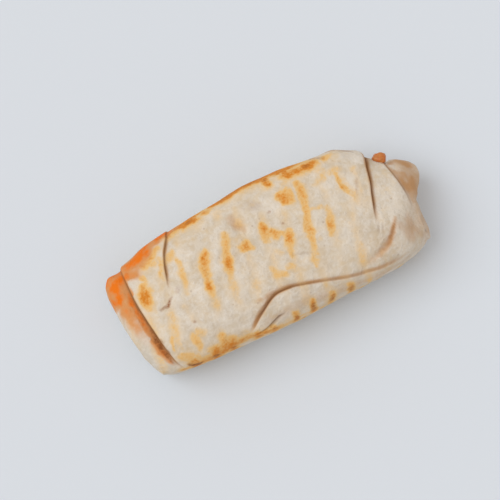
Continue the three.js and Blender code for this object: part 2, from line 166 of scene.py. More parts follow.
def around(pairs):
    # the same for pairs of angle and value, joined up after a full turn
    curve = through([[angle + by, v] for by in (-360, 0, 360) for angle, v in pairs])
    return lambda angle: curve(np.mod(angle, 360))


backSide, frontSide, topHeight = (through(rollForm[k]) for k in ("back", "front", "top"))
for end in (leftEnd, rightEnd):
    end["outlineAt"], end["slitAt"] = through(end["outline"]), through(end["slit"])
for fold in (leftRim, leftPleat, rightPleat, rightRim):
    fold["placeAt"], fold["turnAt"] = around(fold["place"]), around(fold["turn"])
seamAngle, seamTurn, seamShadeBandReach = (through(seam[k]) for k in ("angle", "turn", "shadeBandReach"))


def section(x, angle, inset):
    # y = middle + r cos, z = level + r sin, with r from |cos/a|^p + |sin/b|^p = r^-p
    back, front, top = backSide(x), frontSide(x), topHeight(x)
    level = rollForm["widestLevel"] * top
    c, s = np.cos(np.radians(angle)), np.sin(np.radians(angle))
    power = np.where(s > 0, rollForm["topSquareness"], rollForm["bottomSquareness"])
    halfWidth = (back - front) / 2 - inset
    halfHeight = np.where(s > 0, top - level, level + rollForm["sag"]) - inset
    r = (np.abs(c / halfWidth) ** power + np.abs(s / halfHeight) ** power) ** (-1 / power)
    return (back + front) / 2 + r * c, level + r * s


def endSkin(end, x, angle, inset):
    # from the shoulder section, the height closes on the slit as cos^(2/n) of the share gone,
    # while x runs out to the end's outline as its sin^(2/n), later below the slit where it is
    # undercut, and back a little at the slit
    share = np.clip(np.abs(x - end["start"]) / rollForm["endLength"], 0, 1)
    power = 2 / rollForm["endSquareness"]
    across = np.cos(np.pi / 2 * share).clip(0) ** power
    y, z = section(end["start"], angle, inset)
    slit = end["slitAt"](y)
    below = np.clip(1 - z / slit, 0, 1)
    along = np.sin(np.pi / 2 * share) ** (power * (1 + end["undercut"] * below))
    reach = (end["outlineAt"](y) - end["start"]) * along
    hollow = end["hollow"] * smoothStep(1, 8, np.abs(end["outlineAt"](y) - end["start"]))
    sunk = hollow * np.exp(-((across / rollForm["hollowWidth"]) ** 2))
    place = end["start"] + reach - np.sign(reach) * sunk
    lowered = topHeight(place) / topHeight(end["start"])
    return np.stack([place, y, slit + (z * lowered - slit) * across], -1)


def skin(x, angle, inset):
    # the section between the two shoulders, and the closing ends past them
    y, z = section(x, angle, inset)
    body = np.stack([x + 0 * y, y, z], -1)
    left, right = endSkin(leftEnd, x, angle, inset), endSkin(rightEnd, x, angle, inset)
    x = x[..., None]
    return np.where(x < leftEnd["start"], left, np.where(x > rightEnd["start"], right, body))


def foldPath(fold, turn):
    # short steps whose heading bends from level to most * turn half-turns and back, summed: t runs
    # past the edge and n below the upper layer, scaled so that t spans twice the reach
    steps = grid["foldSteps"]
    tuck, most = fold["tuck"] * turn, np.pi * fold["most"] * turn
    parts = [
        ("high", fold["reach"] - fold["edge"] + 0 * turn, 0 * turn, 0 * turn),
        ("edge", np.pi * fold["edge"] + 0 * turn, 0 * turn, most),
        ("tuck", tuck + 0.01, most, most),
        ("throat", np.pi * fold["throat"] + 0 * turn, most, 0 * turn),
        ("low", fold["reach"] + tuck + fold["edge"], 0 * turn, 0 * turn),
    ]
    lengths, heads = [], []
    for name, length, a, b in parts:
        for k in range(steps[name]):
            lengths.append(length / steps[name])
            heads.append(a + (b - a) * (k + 0.5) / steps[name])
    lengths, heads = np.array(lengths), np.array(heads)
    start = np.zeros((1,) + turn.shape)
    t = np.concatenate([start, np.cumsum(lengths * np.cos(heads), 0)])
    n = np.concatenate([start, np.cumsum(lengths * np.sin(heads), 0)])
    scale = 2 * fold["reach"] / t[-1]
    return t * scale - fold["reach"], n * scale


def gapeDepth(fold, t, turn):
    # how much deeper the lower layer dips beside the edge: a bell curve of the distance past it
    return fold["gape"] * turn * np.exp(-(np.maximum(t - fold["edge"], 0) / fold["gapeWidth"]) ** 2)


def gapedPath(fold, turn):
    # the fold's path, its lower layer dipped beside the edge, and its depth without the dip
    t, n = foldPath(fold, turn)
    return t, n + gapeDepth(fold, t, turn) * n / np.maximum(n[-1], 0.01), n[-1]


def shadeIn(fold, order, t, turn):
    # painted shade of a fold: 1 inside it, fading past its edge as exp(-t / width)
    hidden = grid["foldSteps"]["high"] + grid["foldSteps"]["edge"]
    inside = np.where(order > hidden, 1, smoothStep(hidden - grid["shadeSteps"], hidden, order))
    return inside * np.exp(-np.maximum(t, 0) / fold["shadeWidth"]) * turn


def drop(fold, angle):
    # depth of the lower layer, the last point of the fold's path
    return foldPath(fold, fold["turnAt"](angle))[1][-1]


def pastPleat(fold, x, angle):
    # the pleat's drop, coming back up over a distance
    t = x - fold["placeAt"](angle)
    past = np.maximum(t - fold["reach"], 0)
    beside = gapeDepth(fold, t, fold["turnAt"](angle)) * (t > fold["reach"])
    return drop(fold, angle) * (1 - smoothStep(0, pleatRecovery, past)) + beside


def underLeft(x, angle):
    # inset of the left end's skin: the rim's drop and the dip beside it
    t = leftRim["placeAt"](angle) - x
    return drop(leftRim, angle) + gapeDepth(leftRim, t, leftRim["turnAt"](angle))


def underRight(x, angle):
    # inset of the right end's skin: the rim's drop and dip, and the pleat's
    t = x - rightRim["placeAt"](angle)
    beside = gapeDepth(rightRim, t, rightRim["turnAt"](angle))
    return drop(rightRim, angle) + beside + pastPleat(rightPleat, x, angle)


def flush(x, angle):
    # no inset
    return 0 * x


def endColumns(end, side, count, inset):
    # columns from the shoulder to the slit, closer together towards the slit
    share = 1 - (1 - np.arange(1, count + 1) / count) ** 1.4
    place = end["start"] + side * rollForm["endLength"] * share
    if side < 0:
        place = place[::-1]

    def columns(angle):
        x = place[:, None] + 0 * angle
        return x, inset(x, angle), 0 * x
    return count, columns


def stretch(start, stop, count, inset):
    # columns spread evenly between two edges
    share = (np.arange(count)[:, None] + 0.5) / count

    def columns(angle):
        x = start(angle) + (stop(angle) - start(angle)) * share
        return x, inset(x, angle), 0 * x
    return count, columns


def foldColumns(fold, inset):
    # columns along the fold's path, with how deep each lies in the fold
    count = sum(grid["foldSteps"].values()) + 1
    order = np.arange(count) if fold["toward"] > 0 else np.arange(count)[::-1]

    def columns(angle):
        turn = fold["turnAt"](angle)
        t, n = (np.take_along_axis(v, order[None, :, None], 0)[0] for v in gapedPath(fold, turn)[:2])
        x = fold["placeAt"](angle) + fold["toward"] * t
        return x, n + inset(x, angle), shadeIn(fold, order[:, None], t, turn)
    return count, columns


def before(fold):
    # where the fold's path starts, at each angle
    return lambda angle: fold["placeAt"](angle) - fold["reach"]


def after(fold):
    # where it ends
    return lambda angle: fold["placeAt"](angle) + fold["reach"]


def fixed(x):
    # the same x at every angle
    return lambda angle: x + 0 * angle


columnBlocks = [
    endColumns(leftEnd, -1, grid["end"], underLeft),
    stretch(fixed(leftEnd["start"]), before(leftRim), grid["leftBand"], underLeft),
    foldColumns(leftRim, flush),
    stretch(after(leftRim), before(leftPleat), grid["leftPanel"], flush),
    foldColumns(leftPleat, flush),
    stretch(after(leftPleat), before(rightPleat), grid["main"],
            lambda x, angle: pastPleat(leftPleat, x, angle)),
    foldColumns(rightPleat, flush),
    stretch(after(rightPleat), before(rightRim), grid["rightPanel"],
            lambda x, angle: pastPleat(rightPleat, x, angle)),
    foldColumns(rightRim, lambda x, angle: pastPleat(rightPleat, x, angle)),
    stretch(after(rightRim), fixed(rightEnd["start"]), grid["rightBand"], underRight),
    endColumns(rightEnd, 1, grid["end"], underRight),
]


def layColumns(angle):
    # every block's columns for a grid of angles, one row of it for each column
    done, parts = 0, []
    for count, columns in columnBlocks:
        parts.append(columns(angle[done:done + count]))
        done += count
    return [np.concatenate(p) for p in zip(*parts)]


def girthPerDegree(x, angle):
    # length along the section's outline for a degree of angle
    (y0, z0), (y1, z1) = section(x, angle - 0.5, 0), section(x, angle + 0.5, 0)
    return np.hypot(y1 - y0, z1 - z0)


def layRows():
    # the rows' nominal angles, even along the middle section's outline but sparser underneath,
    # with the rows that cross the seam's fold first
    x = np.linspace(-60, 78, 139)
    reach = 1.05 * seam["reach"] / girthPerDegree(x, seamAngle(x)).min()
    angle = np.linspace(seam["middle"] + reach, seam["middle"] - reach + 360, 4000)
    under = smoothStep(205, 235, angle) * (1 - smoothStep(305, 335, angle))
    weight = girthPerDegree(0 * angle, angle) * (1 - (1 - grid["underDensity"]) * under)
    total = np.concatenate([[0], np.cumsum((weight[1:] + weight[:-1]) / 2)])
    shares = np.arange(1, grid["round"] + 1) / (grid["round"] + 1)
    return np.interp(shares * total[-1], total, angle)


def rowAngles(x, rest):
    # the angle of every row at each x, the lift of the seam's upper layer, and the fold's painted shade
    crossCount = sum(grid["foldSteps"].values()) + 1
    xs, xr = x[:, :crossCount], x[:, crossCount:]
    t, n, height = gapedPath(seam, seamTurn(xs))
    order = np.arange(crossCount)[::-1]
    picked = [np.take_along_axis(v, order[None, None, :], 0)[0] for v in (t, n)]
    crossAngle = seamAngle(xs) + seam["toward"] * picked[0] / girthPerDegree(xs, seamAngle(xs))
    crossLift = height - picked[1]
    crossShade = shadeIn(seam, order[None], picked[0], seamTurn(xs))
    away = np.minimum(rest - seam["middle"], seam["middle"] + 360 - rest)
    pull = np.maximum(1 - away / seam["pull"], 0)
    restAngle = rest + (seamAngle(xr) - seam["middle"]) * pull
    past = np.maximum((restAngle - seamAngle(xr)) * girthPerDegree(xr, restAngle) - seam["reach"], 0)
    height = foldPath(seam, seamTurn(xr))[1][-1]
    # a row that comes before the seam again has gone all the way round
    beside = (seamAngle(xr) + 360 - restAngle) * girthPerDegree(xr, restAngle)
    gape = gapeDepth(seam, beside, seamTurn(xr))
    restLift = np.where(rest < seam["middle"] + 180, height * np.exp(-past / seam["recovery"]), -gape)
    return (np.concatenate([crossAngle, restAngle], 1), np.concatenate([crossLift, restLift], 1),
            np.concatenate([crossShade, 0 * restLift], 1))


def meetingTurns(end, ring):
    # how far each row turns on its way to an end's slit: the rows above the slit spread over the
    # whole top, and each one below it goes to the y of the row that it meets
    k = np.arange(len(ring) // 2 + 1)
    first = int(np.argmax(ring > 180))
    below, above = (first + k) % len(ring), (first - k) % len(ring)
    wrapped = 360 * (k > first)
    turned = ring[above] - wrapped
    spread = np.minimum(180 - (180 - turned) * 180 / (180 - turned[-1]), 180)
    lower = np.linspace(180, 360, 721)
    target = ring.copy()
    target[above] = spread + wrapped
    target[below] = np.interp(section(end["start"], spread, 0)[0], section(end["start"], lower, 0)[0], lower)
    return target - ring, first


def outward(x, angle):
    # unit normal of the unfolded skin, from its slopes along and round the roll
    dx, da, last = 0.25, 0.5, 0.96 * rollForm["endLength"]
    lowX = np.clip(x - dx, leftEnd["start"] - last, None)
    highX = np.clip(x + dx, None, rightEnd["start"] + last)
    along = skin(highX, angle, 0) - skin(lowX, angle, 0)
    turned = skin(x, angle + da, 0) - skin(x, angle - da, 0)
    normal = np.cross(turned, along)
    return normal / np.linalg.norm(normal, axis=-1, keepdims=True).clip(1e-9)


def valueNoise(p, size, seed):
    # random values from -1 to 1 at the corners of a lattice of cubes, blended across each cube
    primes, count = np.array([73856093, 19349663, 83492791]), 8192
    table = np.random.default_rng(seed).random(count) * 2 - 1
    q = p / size
    corner = np.floor(q).astype(np.int64)
    part = q - corner
    part = part * part * (3 - 2 * part)
    total = np.zeros(p.shape[:-1])
    for i in range(8):
        step = np.array([i & 1, i >> 1 & 1, i >> 2 & 1])
        key = ((corner + step) * primes).sum(-1)
        share = np.abs(1 - step - part).prod(-1)
        total += table[key % count] * share
    return total


# How the toasting and the filling shaped the skin. The grill's bars lie across it, leaning with y.
bars = {"first": -72.3, "pitch": 11.75, "lean": 0.229, "halfWidth": 1.9, "press": 0.3}
relief = {
    "lumps": [(33, 0.75, 11), (12, 0.4, 12), (4.5, 0.14, 13)],  # size, height and seed
    "endPleats": 0.45,  # height of the gathers round each closed end
}
grooves = [  # x, angle, half width and depth along each
    [(-29, 164.5, 0.9, 0.2), (-22.4, 160, 1.0, 1.2), (-17.6, 156, 1.1, 1.6), (-13.6, 153, 1.0, 1.2),
     (-10, 152.5, 0.8, 0.1)],
    [(62.9, 121, 1, 0.1), (60.5, 127, 1.2, 0.5), (57, 133.5, 1.3, 0.7), (51.8, 140, 1.3, 0.6),
     (46.6, 143.6, 1.2, 0.45), (41, 146.5, 1, 0.1)],
    [(54.3, 119, 0.8, 0.2), (53.2, 124, 0.8, 0.5), (51.8, 130, 0.8, 0.1)],
    [(56.3, 120, 0.8, 0.1), (55, 125, 0.8, 0.4), (53.6, 131, 0.8, 0.1)],
    [(5.5, 113, 0.8, 0.1), (12.5, 116.5, 0.9, 0.35), (17, 121, 0.8, 0.1)],
]


def barField(x, y, halfWidth):
    # bell curve of the distance from the nearest grill bar
    k = (x - bars["first"] - bars["lean"] * y) / bars["pitch"]
    return np.exp(-((k - np.round(k)) * bars["pitch"] / halfWidth) ** 2)


haloReach = (0.7, 3.1)  # half widths over which the faint step round a stroke fades


def strokeMask(u, v, strokes, inner=0.35, outer=1.35, halo=0.0):
    # at each point of a stroke, its strength times a soft step of the distance over its half width,
    # with a fainter step round it
    mask = np.zeros(u.shape)
    for stroke in strokes:
        points = np.array(stroke if len(stroke) > 1 else stroke * 2, float)
        for a, b in zip(points[:-1], points[1:]):
            du, dv = b[0] - a[0], b[1] - a[1]
            t = np.clip(((u - a[0]) * du + (v - a[1]) * dv) / max(du * du + dv * dv, 1e-6), 0, 1)
            away = np.hypot(u - a[0] - t * du, v - a[1] - t * dv) / (a[2] + t * (b[2] - a[2]))
            step = np.maximum(1 - smoothStep(inner, outer, away), halo * (1 - smoothStep(*haloReach, away)))
            mask = np.maximum(mask, (a[3] + t * (b[3] - a[3])) * step)
    return mask


# distance round the middle section from angle 0, with angles from -90 at the underside up to 270
arcAngles = np.linspace(-90, 270, 721)
arcLengths = np.cumsum(girthPerDegree(0 * arcAngles, arcAngles)) * (arcAngles[1] - arcAngles[0])
arcLengths -= np.interp(0, arcAngles, arcLengths)


def arcAt(angle):
    # distance round the roll to an angle
    return np.interp(np.mod(np.asarray(angle, float) + 90, 360) - 90, arcAngles, arcLengths)


def roundStrokes(strokes):
    # strokes given by x and angle, with the angle turned into distance round the roll
    return [[(x, float(arcAt(angle)), *rest) for x, angle, *rest in stroke] for stroke in strokes]


def arcCrease(p):
    # the step of the arc crease by the right end, sunk inside the arc and swollen outside it
    c = rimCrease
    outside = np.hypot(p[..., 0] - c["x"], p[..., 1] - c["y"]) - c["radius"]
    bearing = np.degrees(np.arctan2(p[..., 1] - c["y"], p[..., 0] - c["x"]))
    near = 1 - smoothStep(c["half"] * 0.5, c["half"], np.abs(bearing - c["middle"]))
    inner = -c["dip"] * np.exp(np.minimum(outside, 0) / c["dipReach"])
    outer = c["swell"] * np.exp(-np.maximum(outside, 0) / c["swellReach"])
    return near * (inner + (outer - inner) * smoothStep(-c["width"] / 2, c["width"] / 2, outside))


def slitFade(x):
    # 1 over most of the skin, going to 0 where the ends close on their slits
    share = np.maximum(leftEnd["start"] - x, x - rightEnd["start"]) / rollForm["endLength"]
    return 1 - smoothStep(0.55, 0.95, share)


def skinRelief(p, nominal, angle, ended):
    # soft dents as bell curves in x and y, the arc crease, lumps of noise, pressed bars and
    # grooves, and gathers that fan out round the slit of each end
    x, y, z = p[..., 0], p[..., 1], p[..., 2]
    upper = smoothStep(0, 0.25, z / topHeight(x) - rollForm["widestLevel"])
    under = 1 - smoothStep(1, 6, z)
    height = arcCrease(p) * upper
    for cx, cy, rx, ry, depth in dents:
        height -= upper * depth * np.exp(-((x - cx) / rx) ** 2 - ((y - cy) / ry) ** 2)
    for size, most, seed in relief["lumps"]:
        height += most * valueNoise(p, size, seed) * (1 - 0.7 * under)
    pressed = smoothStep(0.75, 0.95, np.abs(np.sin(np.radians(angle))))
    pressed = pressed * (0.55 + 0.45 * valueNoise(p, 15, 21))
    height -= bars["press"] * barField(x, y, bars["halfWidth"]) * pressed
    height -= strokeMask(x, arcAt(angle), roundStrokes(grooves), 0, 1.6)
    gathers = np.sin(np.radians(angle) * 13 + 2.5 * valueNoise(p, 14, 31)) * valueNoise(p, 9, 32)
    return (height + ended * relief["endPleats"] * gathers) * slitFade(nominal)


def buildSkin():
    # the section's skin, less the folds' insets, pushed out along its normal by lift and relief
    rest = layRows()
    crossCount = sum(grid["foldSteps"].values()) + 1
    columnCount = sum(count for count, _ in columnBlocks)
    rows = np.concatenate([np.zeros(crossCount), rest])
    x = np.zeros((columnCount, len(rows)))
    for _ in range(grid["rounds"]):
        # the rows' angles follow the seam's place along x, and the columns' x the folds' at each angle
        angle, lift, seamShade = rowAngles(x, rest)
        x = layColumns(angle)[0]
    for end, side in ((leftEnd, -1), (rightEnd, 1)):
        ring = angle[np.argmin(np.abs(x[:, 0] - end["start"]))]
        turns, end["firstBelow"] = meetingTurns(end, ring)
        angle = angle + turns * smoothStep(0, 1, side * (x - end["start"]) / rollForm["endLength"])
    _, inset, foldShade = layColumns(angle)
    ended = np.clip(np.maximum(leftEnd["start"] - x, x - rightEnd["start"]) / 4, 0, 1)
    p, out = skin(x, angle, inset), outward(x, angle)
    raised = lift * (1 - ended) + skinRelief(p, x, angle, ended)
    print("skin laid out,", columnCount, "columns of", len(rows))
    return {"x": x, "angle": angle, "flat": p, "points": p + out * raised[..., None],
            "creaseShade": np.clip(foldShade + seamShade, 0, 1), "ended": ended}


# Where the skin is browned and stained, and where shade and a highlight are painted on it: x, y, half width
# and strength along each touch on top, and x, angle, half width and strength along each one on the sides.
topToast = [
    [(-67.5, 16, 1.6, 0.55), (-67, 13, 1.4, 0.45)],
    [(-70, 10.8, 2, 0.9), (-70.4, 7.5, 2.8, 1.25), (-71, 3, 2.4, 1.1), (-71.4, -1, 1.5, 0.5)],
    [(-69, 8.5, 1.6, 0.7), (-66, 7.5, 1.4, 0.4)], [(-68.5, 3, 1.6, 0.3), (-69, -3, 1.4, 0.2)],
    [(-64, 22, 2.2, 0.4), (-59, 21, 2.4, 0.5), (-55.5, 22, 1.8, 0.35)],
    [(-54.5, 21, 1.2, 0.3), (-55.8, 17.5, 1.6, 0.5), (-57.3, 13.5, 1.6, 0.45), (-57.8, 9, 1.3, 0.3)],
    [(-52.8, 18.7, 2, 0.4), (-49.3, 19.2, 2.1, 0.55), (-47.5, 20, 1.6, 0.4)],
    [(-47.2, 16.5, 1.3, 0.5), (-48, 10, 1.7, 0.55), (-48.6, 4, 1.6, 0.45), (-50.3, -2.8, 1.5, 0.3)],
    [(-32.6, 12.5, 1.3, 0.5), (-34.6, 9.3, 2.3, 0.95), (-37.2, 4.5, 2.3, 0.7), (-37.9, -0.5, 1.8, 0.55),
     (-39, -5.2, 2.2, 0.85), (-39.8, -10.5, 1.4, 0.35)],
    [(-19.6, 15.8, 1.6, 0.5), (-21.5, 11, 1.9, 0.65), (-23.1, 7, 1.9, 0.75), (-24.6, 2.8, 2.3, 1),
     (-26, -1.2, 1.9, 0.8), (-27, -5.7, 1.6, 0.45), (-27.8, -12.5, 2.3, 0.45), (-29.5, -17.2, 1.6, 0.3)],
    [(-14.8, 4.8, 2, 0.8), (-12.2, 5.3, 2.3, 0.85), (-9.6, 3.2, 1.3, 0.45)],
    [(-16.4, -13.5, 1.8, 0.25), (-16.6, -18, 1.6, 0.2)], [(-16.4, 10, 1.8, 0.16)],
    [(0.2, 12, 1.1, 0.7), (0.2, 9.4, 1.9, 1), (-0.7, 5, 2.2, 0.85), (-1.6, 3, 1.6, 0.6)],
    [(0.8, 7, 1.8, 0.8), (3.4, 3.8, 1.9, 0.8)], [(4, 4, 1.1, 0.5), (9.8, 2.1, 1.1, 0.45)],
    [(10.6, 2, 1.7, 0.7), (9.6, 0, 2, 0.95), (8.6, -3, 1.8, 0.7), (6.9, -7.6, 1.7, 0.5),
     (6, -10.8, 1.4, 0.35)],
    [(-0.5, -3.5, 1.6, 0.24), (1.5, -6.5, 1.8, 0.24)], [(-5.9, -12, 1.9, 0.5), (-5.4, -15, 2.2, 0.6)],
    [(-2.6, -16.2, 1.6, 0.45), (-0.6, -17.2, 1.6, 0.4)], [(3.2, -15, 2, 0.45), (4.8, -17.5, 1.7, 0.35)],
    [(15.4, 21.4, 2, 0.85), (15.8, 17, 2, 0.85), (19.4, 16.8, 2, 0.85), (19.4, 21.2, 2, 0.85),
     (17.4, 19, 2.6, 1)],
    [(16, 24, 1.8, 0.2), (22, 26.5, 2.6, 0.3), (30, 27.5, 2.6, 0.3), (36, 26.5, 2.4, 0.22)],
    [(26.4, 23.6, 1.8, 0.75), (26.4, 19.6, 2.1, 0.85), (25.4, 13.8, 2, 0.8), (24.4, 8.9, 1.7, 0.6),
     (22.9, 5.5, 1.7, 0.6), (21.3, 1.8, 1.9, 0.8), (20.4, -1.8, 2.1, 1), (19.4, -7.4, 1.6, 0.65),
     (17.6, -12.5, 1.6, 0.6), (15.8, -17.8, 1.8, 0.6), (14.7, -20.8, 1.3, 0.35)],
    [(24.4, 7.9, 0.9, 0.3), (32.1, 6, 0.9, 0.3), (35.1, 2.1, 1, 0.25)], [(23.4, -8.6, 1.3, 0.2)],
    [(34.9, 4, 1.3, 0.45), (33.1, -0.8, 1.7, 0.65), (31.3, -4.6, 2, 0.85), (29.4, -9.4, 1.5, 0.45)],
    [(40.1, -8.5, 0.8, 0.22), (39.8, -12.5, 0.8, 0.22)],
    [(34.1, 17.4, 1.5, 0.3), (38, 18.2, 1.6, 0.4), (40, 20, 1.6, 0.45), (41.9, 21.8, 1.9, 0.4)],
    [(42.5, 20.4, 1.6, 0.3), (46, 20.6, 2.2, 0.42), (48.6, 19.6, 1.9, 0.45)],
    [(37, 21.4, 0.9, 0.3), (34.6, 16.6, 0.9, 0.25)], [(39.6, 22, 0.9, 0.35), (37.4, 17.6, 0.9, 0.3)],
    [(46.6, 18.6, 0.9, 0.6), (46.8, 14, 0.9, 0.8), (47, 9.6, 1.1, 0.85), (48.4, 5.6, 1.6, 0.5),
     (50.4, 2.4, 2, 0.3)],
    [(47.6, 15, 2.2, 0.26), (48.4, 8, 2.4, 0.26), (51, 3, 2.6, 0.22)],
    [(50, 0.5, 3, 0.25), (53, -3, 2.6, 0.15)], [(56.4, 16.7, 1.8, 0.24), (53.5, -2.8, 1.6, 0.16)],
    [(-67.6, -19, 0.9, 0.5), (-69.6, -24, 0.9, 0.4)], [(-64.3, -20, 0.8, 0.25), (-65.3, -26, 0.8, 0.25)],
    [(-58.1, -24, 1.7, 0.65), (-57.7, -29, 1.8, 0.6)], [(-54.8, -22.5, 1.8, 0.4), (-51.5, -24.2, 1.6, 0.3)],
    [(-55, -7.5, 1.4, 0.2), (-53.5, -16, 1.6, 0.25)],
]
sideToast = [
    [(-67.5, 148, 2.4, 0.6), (-64.5, 153, 2.8, 0.75)], [(-60.5, 155, 2.2, 0.45), (-60, 164, 2.6, 0.5)],
    [(-53.5, 154, 2.4, 0.5), (-50.5, 156, 3, 0.75), (-50.2, 166, 3, 0.75)],
    [(-45.4, 147, 2.2, 0.65), (-44.6, 158, 3, 0.75), (-44.8, 166, 2.8, 0.6)],
    [(-40.4, 155, 3.2, 0.75), (-39.4, 165, 2.8, 0.6), (-35.5, 160, 2.4, 0.4)],
    [(-66, 161, 2, 0.8), (-63.4, 160, 2.8, 1.25), (-63, 180, 3, 1.1)],
    [(-51.4, 161, 2.6, 1.15), (-51.2, 180, 2.8, 1.1)], [(-41.6, 161, 2.6, 1.05), (-41.2, 180, 2.8, 1)],
    [(-27.6, 161, 2.4, 1), (-27.2, 178, 2.6, 1)],
    [(-68, 170, 3.6, 0.75), (-58, 167, 4.8, 0.95), (-46, 166, 5, 0.95), (-34, 165, 4.8, 0.9),
     (-22, 166, 4, 0.75), (-12, 168, 3.4, 0.5), (0, 169, 3, 0.3)],
    [(-64.5, 163, 2.4, 1.3), (-60, 164, 2, 0.9)], [(-52.5, 164, 2.2, 1.1)],
    [(-42, 164, 2.4, 1.1), (-38, 164, 2, 0.9)], [(-18.4, 160, 1.9, 0.7), (-18.9, 176, 2.2, 0.7)],
    [(-5.6, 157, 1.9, 0.75), (-5.9, 179, 2.3, 0.85)], [(5.3, 156, 1.8, 0.8), (4.9, 181, 2.5, 0.85)],
    [(16.1, 157, 1.9, 0.75), (15.7, 181, 2.4, 0.8)], [(27.1, 158, 1.8, 0.7), (26.8, 179, 2.3, 0.75)],
    [(38, 164, 1.6, 0.4), (37.7, 179, 1.6, 0.55)],
    [(-63, 42, 3, 0.6), (-58, 39, 3, 0.7), (-54, 36, 2.4, 0.55)],
    [(-56, 22, 2.8, 0.75), (-47, 22, 3.8, 1.05), (-40, 21, 3.8, 1.15), (-30, 20, 3.8, 1.15),
     (-24, 19, 3, 0.75)],
    [(-35.5, 26, 3, 1.15), (-30.5, 27, 3.6, 1.2)], [(-23, 25, 2.6, 0.75), (-20.5, 24, 2.2, 0.6)],
    [(-17, 18, 3.6, 0.9), (-5, 20, 4.4, 1.3), (0.3, 19, 4.4, 1.25), (7, 19, 4.4, 1.3), (15, 20, 4.6, 1.2),
     (23.5, 20, 4.2, 1.15), (32, 20, 3.4, 0.8), (40, 21, 2.4, 0.3)],
    [(13.5, 23, 2.2, 1.15), (13, 33, 2.2, 1.15)], [(24.5, 28, 2.2, 1), (24.5, 34, 2.3, 1.1)],
    [(22, 32, 3, 0.6), (30, 31, 3.8, 0.9), (38, 29, 3.6, 0.9)],
    [(34.5, 29, 2.3, 1.25), (36.5, 33, 2.3, 1.25)], [(46.5, 28, 2.8, 0.7), (49.5, 27, 2.2, 0.45)],
]
topSauce = [
    [(-84.5, 13, 5, 1), (-82, 19, 6, 1), (-79, 25, 5, 1)], [(-80.2, 14, 3.6, 0.85), (-78, 21, 3.4, 1)],
    [(-82.5, 8, 4.6, 0.54), (-82, 0, 4.4, 0.48), (-81.4, -6, 4, 0.38), (-80.6, -12, 3.6, 0.22),
     (-79.6, -18, 3, 0.1)],
    [(-78.2, 20, 2.4, 0.95), (-77.9, 9, 2.4, 0.8), (-77, -3, 2.4, 0.76), (-75.8, -15.7, 2.4, 0.8),
     (-74.8, -23, 2.2, 0.75), (-73.8, -27, 1.8, 0.5), (-72.6, -30, 1.4, 0.15)],
    [(-74.5, 22, 3.4, 0.8), (-71, 20, 4.4, 0.55), (-66, 22.5, 3.6, 0.55), (-61, 25, 2.6, 0.4)],
]
sideSauce = [
    [(-75, 29, 7, 0.9), (-69, 29, 6.5, 1), (-65, 29, 6.5, 1), (-59, 26, 6, 0.95),
     (-52, 22, 5, 0.9), (-46, 20, 4, 0.75), (-40, 19, 3, 0.45)],
    [(-86, 26, 7, 0.9), (-82, 12, 8, 0.8), (-78, -8, 5, 0.45)],
]
topScorchAndShade = [
    [(-65.8, -3.4, 0.8, 0.5), (-63, -3.4, 1.1, 0.75), (-61, -1.9, 1, 0.65), (-58.2, -0.8, 0.9, 0.4)],
    [(-54.2, 2.1, 1.6, 0.22)], [(-53.2, -17.4, 0.7, 0.55)],
    # painted shade along the crevice under the left end's rim, partly scorch
    [(-77.8, 10, 0.6, 0.15), (-77.3, 1, 0.7, 0.2), (-76.4, -8, 0.8, 0.12), (-75.6, -14, 1.3, 0.85),
     (-74.7, -20, 1.5, 1), (-73.8, -25, 1.2, 0.85), (-72.9, -28.5, 0.8, 0.3)],
    [(6, 15.7, 1.1, 0.5)], [(9.8, 7.2, 0.7, 0.4)],
    # painted shade along the arc crease by the right end
    [(61.5, -19, 0.6, 0.25), (56.8, -24.3, 0.7, 0.4), (50, -28, 0.7, 0.25)],
    [(-4, 24, 2.6, 0.1), (2, 22, 3, 0.14)], [(55, 11, 0.7, 0.2), (51, 2, 0.7, 0.2)],
]
sideScorch = [
    [(-65.5, 163, 2, 0.8), (-62, 168, 2.8, 0.95)], [(-51.6, 167, 2.6, 0.75)], [(-41.4, 171, 2.2, 0.4)],
    [(-27.6, 169, 2, 0.4)], [(5.3, 160, 1.5, 0.45), (5.1, 172, 1.6, 0.5)],
    [(16.1, 161, 1.5, 0.4), (15.8, 172, 1.6, 0.45)], [(27.1, 162, 1.5, 0.35), (26.9, 172, 1.6, 0.4)],
    [(-5.6, 162, 1.4, 0.35), (-5.8, 172, 1.5, 0.4)], [(-18.5, 164, 1.5, 0.35)], [(-33, 25, 2.2, 0.4)],
    [(35.6, 31, 1.6, 0.45)], [(13.4, 26, 1.4, 0.3)], [(-12, 19, 2, 0.25), (12, 19, 2.4, 0.25)],
    [(40, 20, 2.2, 0.35), (45, 27, 1.6, 0.3)], [(50, 18, 1.8, 0.4), (60, 24, 1.6, 0.3)],
]
topTanAndShade = [
    # painted shade in the arc crease by the right end
    [(62.7, -17, 0.9, 0.5), (60.4, -20.5, 1.2, 0.95), (56.8, -24.3, 1.3, 1), (51.6, -27.5, 1.3, 0.85),
     (46.4, -29.2, 1.2, 0.6), (40, -30.5, 1.1, 0.25)],
    # painted shade in the hollow at the right end's near corner
    [(64, -22, 3, 0.35), (68, -27, 4, 0.55), (71, -21, 4, 0.45), (75, -30, 3, 0.4)],
    [(75.4, 9, 1.4, 0.5), (76.4, 5, 2.2, 0.8), (77.4, 0, 2.6, 0.9), (78.4, -6, 2.8, 0.9),
     (79, -12, 2.2, 0.6)],
    [(80, 3.5, 2.6, 0.8), (81.5, -2, 3.4, 1), (81.5, -8, 3.4, 0.9)],
    [(84, 4, 3, 0.5), (86, 0, 4.5, 0.85), (84, -5, 4, 0.9)],
    [(76, 13, 1.4, 0.8), (80, 12.2, 1.8, 1), (84, 10, 2, 1), (87.5, 6, 2, 0.9)],
    # painted shade above the seam's left half
    [(-20, -23, 1.2, 0.5), (-13, -22.5, 1.4, 0.6), (-7, -21.8, 1.2, 0.5)],
    [(-12.6, 22.5, 2.4, 0.6), (-11, 17, 3, 0.95), (-10.3, 14, 2, 0.55)],
]
